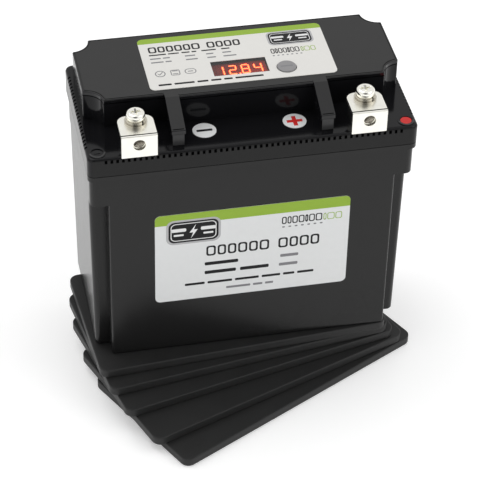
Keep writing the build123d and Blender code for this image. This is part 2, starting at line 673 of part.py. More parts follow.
pieces = {
    "case": case, "lid": lid, "top_cover": top_cover, "circuit_board": circuit_board,
    "board_screws": board_screws, "display_module": display_module,
    "display_window": display_window, "test_button": test_button,
    "button_switch": button_switch, "balance_transistors": balance_transistors,
    "wire_connector": wire_connector, "controller_chip": controller_chip,
    "top_label": top_label, "front_label": front_label, "negative_mark": negative_mark,
    "positive_mark": positive_mark, "red_corner_dot": red_corner_dot, **cells,
    "cell_separators": cell_separators, "end_foams": end_foams, "base_foam": base_foam,
    "bus_bars": bus_bars, "cell_nuts": cell_nuts, **leads, "lead_screws": lead_screws,
    "sense_wires": sense_wires, **terminals, **pads,
}
os.makedirs("parts", exist_ok=True)
for name, piece in pieces.items():
    piece.part.label = name
    export_step(piece.part, f"parts/{name}.step")
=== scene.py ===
import json
import math
import random

import bmesh
import bpy
from mathutils import Matrix, Vector


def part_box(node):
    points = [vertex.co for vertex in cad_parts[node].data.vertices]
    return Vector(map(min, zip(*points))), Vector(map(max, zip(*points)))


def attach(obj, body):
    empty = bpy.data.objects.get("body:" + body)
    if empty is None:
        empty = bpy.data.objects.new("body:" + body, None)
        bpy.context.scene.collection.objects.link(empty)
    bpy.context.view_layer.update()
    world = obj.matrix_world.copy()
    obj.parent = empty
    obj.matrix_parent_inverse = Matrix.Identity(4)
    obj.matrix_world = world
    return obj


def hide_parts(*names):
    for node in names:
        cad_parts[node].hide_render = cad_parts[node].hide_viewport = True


# A motorcycle battery on five loose foam pads, in a white studio. Lengths in helper calls are in
# millimetres, and MM turns them into metres. Places come from the boxes of the CAD nodes.

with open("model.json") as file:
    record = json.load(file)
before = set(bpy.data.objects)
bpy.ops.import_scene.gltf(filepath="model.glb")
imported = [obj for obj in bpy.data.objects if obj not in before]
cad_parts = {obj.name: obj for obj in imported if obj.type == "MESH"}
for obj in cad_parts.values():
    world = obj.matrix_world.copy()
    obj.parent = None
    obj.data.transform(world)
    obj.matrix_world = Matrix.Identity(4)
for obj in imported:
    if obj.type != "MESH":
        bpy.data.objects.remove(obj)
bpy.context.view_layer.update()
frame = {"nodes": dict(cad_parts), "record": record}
nodes = frame["nodes"]

MM = 0.001
POLES = ("negative", "positive")

# ---------------------------------------------------------------- colours, linear

BLACK_PLASTIC = (0.0105, 0.0105, 0.0105)
GLOSS_BLACK = (0.007, 0.007, 0.008)
RIB_END_PAINTED_LIGHT = (0.045, 0.045, 0.046)
COVER_GREY = (0.012, 0.012, 0.012)
FOAM_BLACK = (0.021, 0.021, 0.021)
LABEL_WHITE = (0.76, 0.75, 0.72)
FRONT_LABEL_GREY = (0.76, 0.77, 0.77)
GREEN_INK = (0.290, 0.450, 0.045)
BLACK_INK = (0.006, 0.006, 0.007)
GREY_INK = (0.22, 0.22, 0.23)
HALO_INK = (0.46, 0.46, 0.47)
RED_INK = (0.62, 0.030, 0.028)
NICKEL = (0.96, 0.94, 0.87)
BUTTON_GREY = (0.27, 0.265, 0.27)
SLEEVE_BLUE = (0.03, 0.12, 0.40)
COPPER = (0.85, 0.42, 0.26)
BOARD_GREEN = (0.02, 0.16, 0.06)
WIRE_RED = (0.45, 0.02, 0.02)
NYLON = (0.80, 0.78, 0.70)
GROOVE_SHADE = (0.03, 0.028, 0.024)


# ---------------------------------------------------------------- materials

def node(tree, kind, inputs=None, **settings):
    """A shader node with its settings and its input values or links."""
    made = tree.nodes.new(kind)
    for key, value in settings.items():
        setattr(made, key, value)
    for key, value in (inputs or {}).items():
        if isinstance(value, bpy.types.NodeSocket):
            tree.links.new(value, made.inputs[key])
        else:
            made.inputs[key].default_value = value
    return made


def blank(name):
    """A new material, its node tree, its Principled shader and the place on the surface in metres."""
    material = bpy.data.materials.new(name)
    material.use_nodes = True
    tree = material.node_tree
    shader = tree.nodes["Principled BSDF"]
    place = node(tree, "ShaderNodeTexCoord").outputs["Object"]
    return material, tree, shader, place


def spread(tree, value, low, high):
    """A 0 to 1 value brought between low and high."""
    made = node(tree, "ShaderNodeMapRange", {"Value": value, "To Min": low, "To Max": high})
    return made.outputs["Result"]


def noise(tree, place, grain_mm, detail=3.0, roughness=0.5):
    """Noise whose grains are about grain_mm across."""
    made = node(tree, "ShaderNodeTexNoise",
                {"Vector": place, "Scale": 1 / (grain_mm * MM), "Detail": detail,
                 "Roughness": roughness})
    return made.outputs["Fac"]


def shade(tree, factor, dark, light):
    """A colour between two others."""
    made = node(tree, "ShaderNodeMix", {0: factor, 6: (*dark, 1.0), 7: (*light, 1.0)},
                data_type="RGBA")
    return made.outputs[2]


def tint(colour, factor):
    """A colour made darker or lighter."""
    return tuple(min(1.0, c * factor) for c in colour)


def bump(tree, height, depth_mm, under=None):
    """A surface normal raised by height, on top of another bump if there is one under it."""
    inputs = {"Height": height, "Distance": depth_mm * MM, "Strength": 1.0}
    if under is not None:
        inputs["Normal"] = under
    return node(tree, "ShaderNodeBump", inputs).outputs["Normal"]


def plastic(name, colour, rough, grain_mm, depth_mm, ripple_mm=0.0, shine=0.28):
    """Moulded plastic: a fine grain, faint flow marks in the colour and an uneven gloss."""
    material, tree, shader, place = blank(name)
    flow = noise(tree, place, 22.0, detail=4.0)
    smudge = noise(tree, place, 9.0, detail=5.0, roughness=0.6)
    tree.links.new(shade(tree, flow, tint(colour, 0.86), tint(colour, 1.14)),
                   shader.inputs["Base Color"])
    tree.links.new(spread(tree, smudge, 0.9 * rough, 1.1 * rough), shader.inputs["Roughness"])
    normal = bump(tree, noise(tree, place, grain_mm, detail=2.0), depth_mm)
    if ripple_mm:
        normal = bump(tree, noise(tree, place, 30.0, detail=1.0), ripple_mm, under=normal)
    tree.links.new(normal, shader.inputs["Normal"])
    shader.inputs["Specular IOR Level"].default_value = shine
    return material


def cover_plastic():
    """Fine grained grey on top of the cover, polished black round its edge."""
    material, tree, shader, place = blank("cover_plastic")
    facing = node(tree, "ShaderNodeNewGeometry").outputs["Normal"]
    upward = node(tree, "ShaderNodeSeparateXYZ", {0: facing}).outputs[2]
    top = node(tree, "ShaderNodeMapRange",
               {"Value": upward, "From Min": 0.90, "From Max": 0.97}).outputs["Result"]
    smudge = noise(tree, place, 12.0, detail=5.0, roughness=0.6)
    rough = node(tree, "ShaderNodeMix", {0: top, 2: spread(tree, smudge, 0.06, 0.10),
                                         3: spread(tree, smudge, 0.42, 0.50)}).outputs[0]
    tree.links.new(rough, shader.inputs["Roughness"])
    tree.links.new(shade(tree, top, GLOSS_BLACK, COVER_GREY), shader.inputs["Base Color"])
    grain = node(tree, "ShaderNodeMath",
                 {0: noise(tree, place, 0.38, detail=2.0), 1: top}, operation="MULTIPLY")
    tree.links.new(bump(tree, grain.outputs[0], 0.022), shader.inputs["Normal"])
    shader.inputs["Specular IOR Level"].default_value = 0.4
    return material


def lid_plastic():
    """Polished black on the deck and the plateau, satin outside the rim and in front of it, with
    painted light as a lighter grey on the rib ends in front of the cover.
    """
    material, tree, shader, place = blank("lid_plastic")
    low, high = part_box("lid")
    apart = node(tree, "ShaderNodeSeparateXYZ", {0: place}).outputs
    outside = []
    for axis in (0, 1):
        middle, half = (low[axis] + high[axis]) / 2, (high[axis] - low[axis]) / 2
        away = node(tree, "ShaderNodeMath", {0: apart[axis], 1: middle}, operation="SUBTRACT")
        size = node(tree, "ShaderNodeMath", {0: away.outputs[0]}, operation="ABSOLUTE")
        past = node(tree, "ShaderNodeMath", {0: size.outputs[0], 1: half}, operation="SUBTRACT")
        outside.append(past.outputs[0])
    edge = node(tree, "ShaderNodeMath", {0: outside[0], 1: outside[1]}, operation="MAXIMUM")
    rim = node(tree, "ShaderNodeMapRange", {"Value": edge.outputs[0], "From Min": -0.5 * MM,
                                            "From Max": -0.1 * MM}).outputs["Result"]
    front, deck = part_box("top_cover")[0].y + 0.9 * MM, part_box("negative_mark")[0].z + 0.1 * MM
    before = node(tree, "ShaderNodeMath", {0: apart[1], 1: front}, operation="LESS_THAN")
    above = node(tree, "ShaderNodeMath", {0: apart[2], 1: deck}, operation="GREATER_THAN")
    ends = node(tree, "ShaderNodeMath", {0: before.outputs[0], 1: above.outputs[0]},
                operation="MULTIPLY")
    satin = node(tree, "ShaderNodeMath", {0: rim, 1: ends.outputs[0]},
                 operation="MAXIMUM").outputs[0]
    smudge = noise(tree, place, 8.0, detail=5.0, roughness=0.6)
    gloss = spread(tree, smudge, 0.08, 0.13)
    dull = spread(tree, smudge, 0.22, 0.28)
    rough = node(tree, "ShaderNodeMix", {0: satin, 2: gloss, 3: dull}).outputs[0]
    tree.links.new(rough, shader.inputs["Roughness"])
    black = shade(tree, satin, GLOSS_BLACK, BLACK_PLASTIC)
    # painted light: the rib ends in front of the cover get a lighter grey base colour for the light
    # they mirror
    both = node(tree, "ShaderNodeMix", {0: ends.outputs[0], 6: black, 7: (*RIB_END_PAINTED_LIGHT, 1.0)},
                data_type="RGBA")
    tree.links.new(both.outputs[2], shader.inputs["Base Color"])
    grain = node(tree, "ShaderNodeMath",
                 {0: noise(tree, place, 0.45, detail=2.0), 1: satin}, operation="MULTIPLY")
    ripple = bump(tree, noise(tree, place, 24.0, detail=1.0), 0.10)
    tree.links.new(bump(tree, grain.outputs[0], 0.012, under=ripple), shader.inputs["Normal"])
    shader.inputs["Specular IOR Level"].default_value = 0.20
    return material


def metal(name, colour, rough, brush_mm=0.5, pull=(1.0, 1.0, 1.0), haze=0.12, depth_mm=0.004):
    """Plated or bare metal: fine lines drawn out along one axis, and an uneven haze."""
    material, tree, shader, place = blank(name)
    drawn = node(tree, "ShaderNodeMapping", {"Vector": place, "Scale": pull}).outputs["Vector"]
    lines = noise(tree, drawn, brush_mm, detail=3.0)
    cloud = noise(tree, place, 5.0, detail=4.0)
    tree.links.new(shade(tree, cloud, tint(colour, 0.90), tint(colour, 1.06)),
                   shader.inputs["Base Color"])
    tree.links.new(spread(tree, cloud, rough * (1 - haze), rough * (1 + haze)),
                   shader.inputs["Roughness"])
    tree.links.new(bump(tree, lines, depth_mm), shader.inputs["Normal"])
    shader.inputs["Metallic"].default_value = 1.0
    return material


def film(name, colour, rough=0.34, coat=0.06):
    """Printed or bare label film: a faint orange peel and slightly uneven ink."""
    material, tree, shader, place = blank(name)
    uneven = noise(tree, place, 3.0, detail=5.0)
    tree.links.new(shade(tree, uneven, tint(colour, 0.975), tint(colour, 1.02)),
                   shader.inputs["Base Color"])
    tree.links.new(spread(tree, uneven, rough * 0.9, rough * 1.1), shader.inputs["Roughness"])
    tree.links.new(bump(tree, noise(tree, place, 1.6, detail=2.0), 0.006),
                   shader.inputs["Normal"])
    shader.inputs["Coat Weight"].default_value = coat
    shader.inputs["Coat Roughness"].default_value = 0.12
    shader.inputs["Specular IOR Level"].default_value = 0.2
    return material


def bracket_nickel():
    """Nickel plate with a line of painted shade in the groove beside its bend, the same on both
    brackets.
    """
    groove_back, groove_half, groove_deep = 1.3 * MM, 0.42 * MM, 0.5 * MM
    material = metal("bracket_nickel", NICKEL, 0.30, brush_mm=0.35, pull=(0.06, 1.0, 1.0))
    tree = material.node_tree
    place = node(tree, "ShaderNodeTexCoord").outputs["Object"]
    apart = node(tree, "ShaderNodeSeparateXYZ", {0: place}).outputs
    low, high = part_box("negative_bracket")
    off_line = node(tree, "ShaderNodeMath", {0: apart[1], 1: low.y + groove_back},
                    operation="SUBTRACT")
    away = node(tree, "ShaderNodeMath", {0: off_line.outputs[0]}, operation="ABSOLUTE")
    near = node(tree, "ShaderNodeMath", {0: away.outputs[0], 1: groove_half},
                operation="LESS_THAN")
    raised = node(tree, "ShaderNodeMath", {0: apart[2], 1: high.z - groove_deep},
                  operation="GREATER_THAN")
    line = node(tree, "ShaderNodeMath", {0: near.outputs[0], 1: raised.outputs[0]},
                operation="MULTIPLY").outputs[0]
    shader = tree.nodes["Principled BSDF"]
    plated = shader.inputs["Base Color"].links[0].from_socket
    # painted shade: the strip along the groove beside the bend takes a dark base colour in place of
    # the plating
    mixed = node(tree, "ShaderNodeMix", {0: line, 6: plated, 7: (*GROOVE_SHADE, 1.0)},
                 data_type="RGBA")
    tree.links.new(mixed.outputs[2], shader.inputs["Base Color"])
    return material


def foam(name, colour, cell_mm, depth_mm, rough):
    """Closed-cell foam with a smooth skin: tiny cells, faint scuffs and a soft sheen."""
    material, tree, shader, place = blank(name)
    scuff = noise(tree, place, 14.0, detail=6.0, roughness=0.62)
    tree.links.new(shade(tree, scuff, tint(colour, 0.82), tint(colour, 1.22)),
                   shader.inputs["Base Color"])
    tree.links.new(spread(tree, scuff, rough * 0.88, rough * 1.10), shader.inputs["Roughness"])
    cells = node(tree, "ShaderNodeTexVoronoi", {"Vector": place, "Scale": 1 / (cell_mm * MM)},
                 feature="SMOOTH_F1").outputs["Distance"]
    skin = bump(tree, noise(tree, place, 7.0, detail=3.0), 0.05)
    tree.links.new(bump(tree, cells, depth_mm, under=skin), shader.inputs["Normal"])
    shader.inputs["Sheen Weight"].default_value = 0.03
    shader.inputs["Sheen Roughness"].default_value = 0.4
    shader.inputs["Specular IOR Level"].default_value = 0.25
    return material


def lens():
    """Red tinted acrylic."""
    material, tree, shader, place = blank("meter_lens")
    smudge = noise(tree, place, 4.0, detail=4.0)
    tree.links.new(spread(tree, smudge, 0.015, 0.05), shader.inputs["Roughness"])
    tree.links.new(shade(tree, smudge, (0.90, 0.20, 0.16), (0.94, 0.26, 0.20)),
                   shader.inputs["Base Color"])
    shader.inputs["Transmission Weight"].default_value = 1.0
    shader.inputs["IOR"].default_value = 1.49
    shader.inputs["Specular IOR Level"].default_value = 0.2
    return material


def lit(name, colour, dim_colour, strength):
    """A glowing part whose light is a little uneven."""
    material, tree, shader, place = blank(name)
    uneven = noise(tree, place, 0.8, detail=2.0)
    glow = shade(tree, uneven, dim_colour, colour)
    tree.links.new(glow, shader.inputs["Emission Color"])
    tree.links.new(glow, shader.inputs["Base Color"])
    shader.inputs["Emission Strength"].default_value = strength
    shader.inputs["Roughness"].default_value = 0.4
    return material


def display_face():
    """The dark face of the display, with a red glow that grows towards its lit digits."""
    material, tree, shader, place = blank("display_face")
    low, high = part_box("display_module")
    apart = node(tree, "ShaderNodeSeparateXYZ", {0: place}).outputs
    across = node(tree, "ShaderNodeMapRange",
                  {"Value": apart[0], "From Min": low.x, "From Max": low.x + 0.6 * (high.x - low.x),
                   "To Min": 0.15, "To Max": 1.0}).outputs["Result"]
    along = node(tree, "ShaderNodeMapRange",
                 {"Value": apart[1], "From Min": high.y, "From Max": low.y,
                  "To Min": 0.45, "To Max": 1.0}).outputs["Result"]
    both = node(tree, "ShaderNodeMath", {0: across, 1: along}, operation="MULTIPLY").outputs[0]
    uneven = spread(tree, noise(tree, place, 2.5, detail=3.0), 0.8, 1.2)
    amount = node(tree, "ShaderNodeMath", {0: both, 1: uneven}, operation="MULTIPLY").outputs[0]
    tree.links.new(shade(tree, amount, (0.002, 0.0005, 0.0005), (0.20, 0.008, 0.004)),
                   shader.inputs["Emission Color"])
    shader.inputs["Emission Strength"].default_value = 1.0
    shader.inputs["Base Color"].default_value = (0.02, 0.004, 0.004, 1.0)
    shader.inputs["Roughness"].default_value = 0.5
    return material


def board_mask():
    """Green solder mask with faint traces under it."""
    material, tree, shader, place = blank("solder_mask")
    traces = node(tree, "ShaderNodeTexBrick",
                  {"Vector": place, "Scale": 1 / (6.0 * MM), "Mortar Size": 0.06,
                   "Color1": (*BOARD_GREEN, 1.0), "Color2": (*tint(BOARD_GREEN, 0.9), 1.0),
                   "Mortar": (*tint(BOARD_GREEN, 1.8), 1.0)})
    tree.links.new(traces.outputs["Color"], shader.inputs["Base Color"])
    tree.links.new(spread(tree, noise(tree, place, 6.0), 0.25, 0.35), shader.inputs["Roughness"])
    tree.links.new(bump(tree, traces.outputs["Fac"], 0.02), shader.inputs["Normal"])
    return material


satin_black = plastic("case_plastic", BLACK_PLASTIC, 0.24, grain_mm=0.45, depth_mm=0.010)
dark_moulding = plastic("dark_moulding", (0.02, 0.02, 0.022), 0.4, grain_mm=0.3, depth_mm=0.01)
button_plastic = plastic("button_plastic", BUTTON_GREY, 0.38, grain_mm=0.3, depth_mm=0.010)
nylon = plastic("nylon", NYLON, 0.45, grain_mm=0.6, depth_mm=0.01)
insulation = plastic("insulation", WIRE_RED, 0.35, grain_mm=0.8, depth_mm=0.01)
sleeve = plastic("cell_sleeve", SLEEVE_BLUE, 0.25, grain_mm=1.5, depth_mm=0.02, ripple_mm=0.3)
bracket_plate = bracket_nickel()
nickel = metal("nickel_plate", NICKEL, 0.24, brush_mm=0.35, pull=(0.06, 1.0, 1.0))
bolt_plate = metal("bolt_plate", NICKEL, 0.15, brush_mm=0.4, haze=0.25)
washer_plate = metal("washer_plate", (0.60, 0.57, 0.50), 0.24, brush_mm=0.4, haze=0.25)
bore_metal = metal("bore_metal", (0.55, 0.52, 0.47), 0.26, brush_mm=0.4)
steel = metal("zinc_steel", (0.60, 0.61, 0.62), 0.28)
copper = metal("bare_copper", COPPER, 0.30, brush_mm=0.4, pull=(1.0, 0.08, 1.0))
pad_foam = foam("pad_foam", FOAM_BLACK, cell_mm=0.28, depth_mm=0.02, rough=0.50)
cell_foam = foam("cell_foam", (0.08, 0.08, 0.085), cell_mm=0.5, depth_mm=0.06, rough=0.75)
top_film = film("top_label_film", LABEL_WHITE)
front_film = film("front_label_film", FRONT_LABEL_GREY)
disc_film = film("disc_film", tint(FRONT_LABEL_GREY, 1.05))
green_ink = film("green_ink", GREEN_INK)
black_ink = film("black_ink", BLACK_INK, coat=0.0)
grey_ink = film("grey_ink", GREY_INK, coat=0.0)
halo_ink = film("halo_ink", HALO_INK, coat=0.0)
red_ink = film("red_ink", RED_INK, coat=0.0)
white_ink = film("white_ink", (0.80, 0.80, 0.80), coat=0.0)
digit_glow = lit("digit_glow", (1.0, 0.10, 0.03), (0.8, 0.05, 0.02), 1.6)
digit_core = lit("digit_core", (1.0, 0.62, 0.26), (1.0, 0.45, 0.14), 6.0)

node_finish = {
    "case": satin_black, "lid": lid_plastic(), "top_cover": cover_plastic(),
    "circuit_board": board_mask(), "board_screws": steel, "display_module": display_face(),
    "test_button": button_plastic, "button_switch": dark_moulding,
    "balance_transistors": dark_moulding, "wire_connector": nylon,
    "controller_chip": dark_moulding, "top_label": top_film, "front_label": front_film,
    "negative_mark": disc_film, "positive_mark": disc_film, "red_corner_dot": red_ink,
    "cell_separators": cell_foam, "end_foams": cell_foam, "base_foam": cell_foam,
    "bus_bars": copper, "cell_nuts": steel, "negative_lead": copper, "positive_lead": copper,
    "lead_screws": steel, "sense_wires": insulation,
}
for number in range(1, 5):
    node_finish[f"cell_{number}"] = sleeve
for pole in POLES:
    node_finish[f"{pole}_post"] = nickel
    node_finish[f"{pole}_bracket"] = bracket_plate
    node_finish[f"{pole}_flat_washer"] = washer_plate
    node_finish[f"{pole}_spring_washer"] = washer_plate
for name, finish in node_finish.items():
    for held in nodes[name].material_slots:
        held.material = finish


# ---------------------------------------------------------------- mesh helpers

def placed(bm, name, materials=()):
    """Turns a bmesh into an object of the scene."""
    mesh = bpy.data.meshes.new(name)
    bm.to_mesh(mesh)
    bm.free()
    for material in materials:
        mesh.materials.append(material)
    made = bpy.data.objects.new(name, mesh)
    bpy.context.scene.collection.objects.link(made)
    return made


def settle(bm, name, materials, body, smooth=False):
    """Turns a bmesh into a piece that rides on a body."""
    bmesh.ops.recalc_face_normals(bm, faces=bm.faces)
    piece = placed(bm, name, materials)
    for polygon in piece.data.polygons:
        polygon.use_smooth = smooth
    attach(piece, body)
    return piece


def band(bm, first, second):
    """The faces between two rings of as many points each."""
    made = []
    for k in range(len(first)):
        after = (k + 1) % len(first)
        made.append(bm.faces.new((first[k], first[after], second[after], second[k])))
    return made


def rounded(width, height, radius, x=0.0, y=0.0, steps=6):
    """Outline of a rectangle. radius is one number, or four from the top right corner on."""
    radii = radius if isinstance(radius, tuple) else (radius,) * 4
    outline = []
    for corner, r in enumerate(radii):
        sx, sy = ((1, 1), (-1, 1), (-1, -1), (1, -1))[corner]
        cx, cy = x + sx * (width / 2 - r), y + sy * (height / 2 - r)
        for step in range(steps + 1 if r else 1):
            turn = math.pi / 2 * (corner + step / steps)
            outline.append((cx + r * math.cos(turn), cy + r * math.sin(turn)))
    return outline


def round_outline(radius, x=0.0, y=0.0, steps=40):
    """Outline of a circle."""
    return [(x + radius * math.cos(2 * math.pi * k / steps),
             y + radius * math.sin(2 * math.pi * k / steps)) for k in range(steps)]


class Print:
    """Thin printed shapes on a flat face. x runs right and y up it, in millimetres."""

    INK = 0.018       # how far the lowest layer stands proud of the face
    LAYER = 0.010     # how far each further layer stands above the one under it
    SUNK = 0.03       # how far each shape reaches into the face

    def __init__(self, middle, right, up):
        self.bm = bmesh.new()
        self.middle, self.right, self.up = Vector(middle), Vector(right), Vector(up)
        self.out = self.right.cross(self.up)

    def point(self, x, y, z):
        """A place on the face, z above it, in metres."""
        return self.middle + (self.right * x + self.up * y + self.out * z) * MM

    def loop(self, outline, z):
        """The points of an outline, z above the face."""
        return [self.bm.verts.new(self.point(x, y, z)) for x, y in outline]

    def wall(self, first, second, ink):
        """The inked faces between two loops."""
        for face in band(self.bm, first, second):
            face.material_index = ink

    def shape(self, outline, ink, layer=0):
        """A filled outline."""
        low = self.loop(outline, -self.SUNK)
        high = self.loop(outline, self.INK + layer * self.LAYER)
        self.bm.faces.new(high).material_index = ink
        self.bm.faces.new(low[::-1]).material_index = ink
        self.wall(low, high, ink)

    def frame(self, outer, inner, ink, layer=0):
        """A line between two outlines with as many points each."""
        top = self.INK + layer * self.LAYER
        loops = [self.loop(outline, z) for outline, z in
                 ((outer, -self.SUNK), (outer, top), (inner, top), (inner, -self.SUNK))]
        for k in range(4):
            self.wall(loops[k], loops[(k + 1) % 4], ink)

    def words(self, left, right, base, height, ink, dice):
        """A line of plain bars of uneven length, in place of a line of print."""
        x, thick, gap = left, 0.55 * height, 0.55 * height
        while x < right - height:
            length = min(dice.uniform(1.6, 5.0) * height, right - x)
            if right - (x + length) < 1.6 * height:
                length = right - x
            self.shape(rounded(length, thick, 0.3 * thick, x + length / 2, base + height / 2,
                               steps=3), ink)
            x += length + gap

    def blocks(self, left, base, height, widths, gap, line, ink):
        """A line of outlined blocks in place of a heading. A width of 0 leaves a space."""
        x = left
        for width in widths:
            if width:
                middle = (x + width / 2, base + height / 2)
                self.frame(rounded(width, height, 0.22 * height, *middle),
                           rounded(width - 2 * line, height - 2 * line,
                                   0.22 * height - 0.5 * line, *middle), ink)
            x += (width or 0.45 * height) + gap


def badge(sheet, x, y, width, height, inks):
    """A plain dark badge with a light line round it, a lightning flash and two bars each side."""
    halo, dark, light = inks
    grow, inset, line = 0.09 * height, 0.08 * height, 0.035 * height
    sheet.shape(rounded(width + 2 * grow, height + 2 * grow, 0.30 * height, x, y), halo, 1)
    sheet.shape(rounded(width, height, 0.24 * height, x, y), dark, 2)
    sheet.frame(rounded(width - 2 * inset, height - 2 * inset, 0.19 * height, x, y),
                rounded(width - 2 * (inset + line), height - 2 * (inset + line), 0.16 * height,
                        x, y), light, 3)
    flash = ((0.10, 0.34), (-0.16, -0.06), (-0.01, -0.06), (-0.10, -0.34), (0.16, 0.08),
             (0.01, 0.08))
    sheet.shape([(x + a * height, y + b * height) for a, b in flash], light, 3)
    for side in (-1, 1):
        bar_x = x + side * (0.18 * height + 0.25 * (width - 0.36 * height))
        sheet.shape(rounded(0.30 * width, 0.16 * height, 0.05 * height, bar_x, y + 0.10 * height,
                            steps=3), light, 3)
        sheet.shape(rounded(0.20 * width, 0.09 * height, 0.03 * height, bar_x,
                            y - 0.14 * height, steps=3), light, 3)


# ---------------------------------------------------------------- printed labels

INKS = [green_ink, black_ink, grey_ink, halo_ink, white_ink, red_ink]
GREEN, BLACK, GREY, HALO, WHITE, RED = range(6)
dice = random.Random(20)

low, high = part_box("front_label")
sheet = Print(((low.x + high.x) / 2, low.y, (low.z + high.z) / 2), (1, 0, 0), (0, 0, 1))
WIDE, TALL = (high.x - low.x) / MM, (high.z - low.z) / MM
STRIP = 6.9
sheet.shape(rounded(WIDE, STRIP, (3.0, 3.0, 0, 0), 0, (TALL - STRIP) / 2), GREEN)
badge(sheet, -32.2, 17.6, 27.0, 14.0, (HALO, BLACK, WHITE))
sheet.blocks(15.8, 15.3, 5.0, (2.6, 2.2, 3.0, 3.2, 1.6, 3.2, 3.6), 0.45, 0.62, BLACK)
sheet.blocks(38.6, 15.3, 4.6, (1.6, 4.0, 3.6), 0.5, 0.40, GREEN)
for k in range(7):
    sheet.shape(rounded(1.5, 0.9, 0.3, 16.8 + 3.45 * k, 13.4, steps=2), GREY)
sheet.blocks(-25.2, -0.8, 6.9, (5.2, 4.6, 4.6, 5.0, 4.8, 5.2, 0, 5.2, 4.6, 5.0, 4.8), 1.0, 1.05,
             BLACK)
for left, right, base, tall, ink in (
        (-26.0, -7.6, -8.3, 4.1, BLACK), (15.6, 25.6, -8.3, 3.6, GREY),
        (-26.0, 9.4, -14.4, 4.1, BLACK), (15.0, 25.4, -14.4, 3.6, GREY),
        (-36.8, 34.6, -21.0, 2.9, BLACK), (-14.0, 12.2, -25.9, 2.7, GREY)):
    sheet.words(left, right, base, tall, ink, dice)
settle(sheet.bm, "front_label_print", INKS, "battery")

low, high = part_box("top_label")
sheet = Print(((low.x + high.x) / 2, (low.y + high.y) / 2, high.z), (1, 0, 0), (0, 1, 0))
WIDE, TALL = (high.x - low.x) / MM, (high.y - low.y) / MM
STRIP = 4.6
sheet.shape(rounded(WIDE, STRIP, (3.0, 3.0, 0, 0), 0, (TALL - STRIP) / 2), GREEN)
badge(sheet, 31.6, 12.4, 23.0, 10.6, (HALO, BLACK, WHITE))
sheet.blocks(-45.4, 10.0, 5.4, (4.4, 3.8, 3.8, 4.0, 3.8, 4.4, 0, 4.2, 3.8, 4.0, 3.8), 0.72, 0.95,
             BLACK)
for left, right, base, tall, ink in (
        (-45.7, -29.6, 7.0, 1.9, BLACK), (-28.2, -20.2, 7.0, 1.9, BLACK),
        (-17.5, -9.6, 7.0, 1.9, BLACK), (-6.8, -2.2, 7.0, 1.9, BLACK),
        (-45.7, -35.0, 3.6, 1.9, GREY), (-27.0, -21.4, 3.6, 1.9, GREY),
        (-15.5, -11.6, 3.6, 1.9, GREY), (-6.8, -2.0, 3.6, 1.9, GREY),
        (-45.7, -34.6, 0.2, 1.9, GREY), (-27.0, -20.6, 0.2, 1.9, GREY),
        (-15.5, -10.8, 0.2, 1.9, GREY), (-6.8, 0.2, 0.2, 1.9, GREY),
        (-45.2, 10.6, -20.9, 2.7, BLACK)):
    sheet.words(left, right, base, tall, ink, dice)
sheet.blocks(18.8, -1.3, 4.6, (2.0, 1.4, 2.2, 2.2, 1.2, 2.2, 2.4), 0.32, 0.5, BLACK)
sheet.blocks(35.2, -1.3, 4.2, (1.3, 3.2, 2.6), 0.4, 0.35, GREEN)
for k in range(7):
    sheet.shape(rounded(1.1, 0.8, 0.25, 19.6 + 2.5 * k, -3.2, steps=2), GREY)
for outer, inner in ((round_outline(2.8, -42.6, -9.5), round_outline(2.25, -42.6, -9.5)),
                     (rounded(5.0, 5.0, 1.0, -34.6, -9.5), rounded(4.0, 4.0, 0.5, -34.6, -9.5)),
                     (rounded(6.2, 4.6, 2.1, -26.5, -9.5), rounded(5.2, 3.6, 1.6, -26.5, -9.5))):
    sheet.frame(outer, inner, GREY)
tick = ((-44.1, -9.4), (-43.0, -10.8), (-41.0, -8.2), (-41.4, -7.9), (-43.0, -10.0), (-43.8, -9.1))
sheet.shape(tick, GREY)
for base in (-8.6, -11.2):
    sheet.words(-36.1, -33.1, base, 1.2, GREY, dice)
sheet.shape(rounded(2.8, 0.7, 0.2, -26.5, -9.5, steps=2), GREY)
settle(sheet.bm, "top_label_print", INKS, "battery")

# plus and minus on their discs
MARK_LONG, MARK_THICK = 8.3, 1.8
for pole, ink in (("negative", BLACK), ("positive", RED)):
    low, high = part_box(f"{pole}_mark")
    sheet = Print(((low.x + high.x) / 2, (low.y + high.y) / 2, high.z), (1, 0, 0), (0, 1, 0))
    if pole == "negative":
        sheet.shape(rounded(MARK_LONG, MARK_THICK, 0.3), ink)
    else:
        arm, half = MARK_LONG / 2, MARK_THICK / 2 + 0.2
        sheet.shape([(arm, -half), (arm, half), (half, half), (half, arm), (-half, arm),
                     (-half, half), (-arm, half), (-arm, -half), (-half, -half), (-half, -arm),
                     (half, -arm), (half, -half)], ink)
    settle(sheet.bm, f"{pole}_sign", INKS, "battery")

# the test button's mark
low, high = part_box("test_button")
sheet = Print(((low.x + high.x) / 2, (low.y + high.y) / 2, high.z), (1, 0, 0), (0, 1, 0))
sheet.words(-3.2, 3.2, -0.9, 1.8, GREY, dice)
settle(sheet.bm, "button_mark", INKS, "test_button")


# ---------------------------------------------------------------- meter

SEGMENTS = {"1": "bc", "2": "abged", "4": "fgbc", "8": "abcdefg"}
READING = "1284"              # with a point after the second digit
DIGIT_WIDE, DIGIT_TALL, DIGIT_PITCH, DIGIT_SHIFT = 3.7, 7.4, 6.85, -0.3
BAR_GAP = 0.12                # left free at each end of a bar
GLOW, CORE = (1.2, 4, 0), (0.6, 7, 1)     # a bar's width, its layer and its material
GLOW_DOT_R, CORE_DOT_R = 0.75, 0.45
low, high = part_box("display_module")
sheet = Print(((low.x + high.x) / 2, (low.y + high.y) / 2, high.z), (1, 0, 0), (0, 1, 0))


def segment(x, y, long, upright, stroke, layer, ink):
    """One six-sided bar of a digit."""
    half, end = long / 2 - BAR_GAP, stroke / 2
    outline = [(half, 0), (half - end, end), (end - half, end), (-half, 0), (end - half, -end),
               (half - end, -end)]
    if upright:
        outline = [(-b, a) for a, b in outline]
    sheet.shape([(x + a, y + b) for a, b in outline], ink, layer)


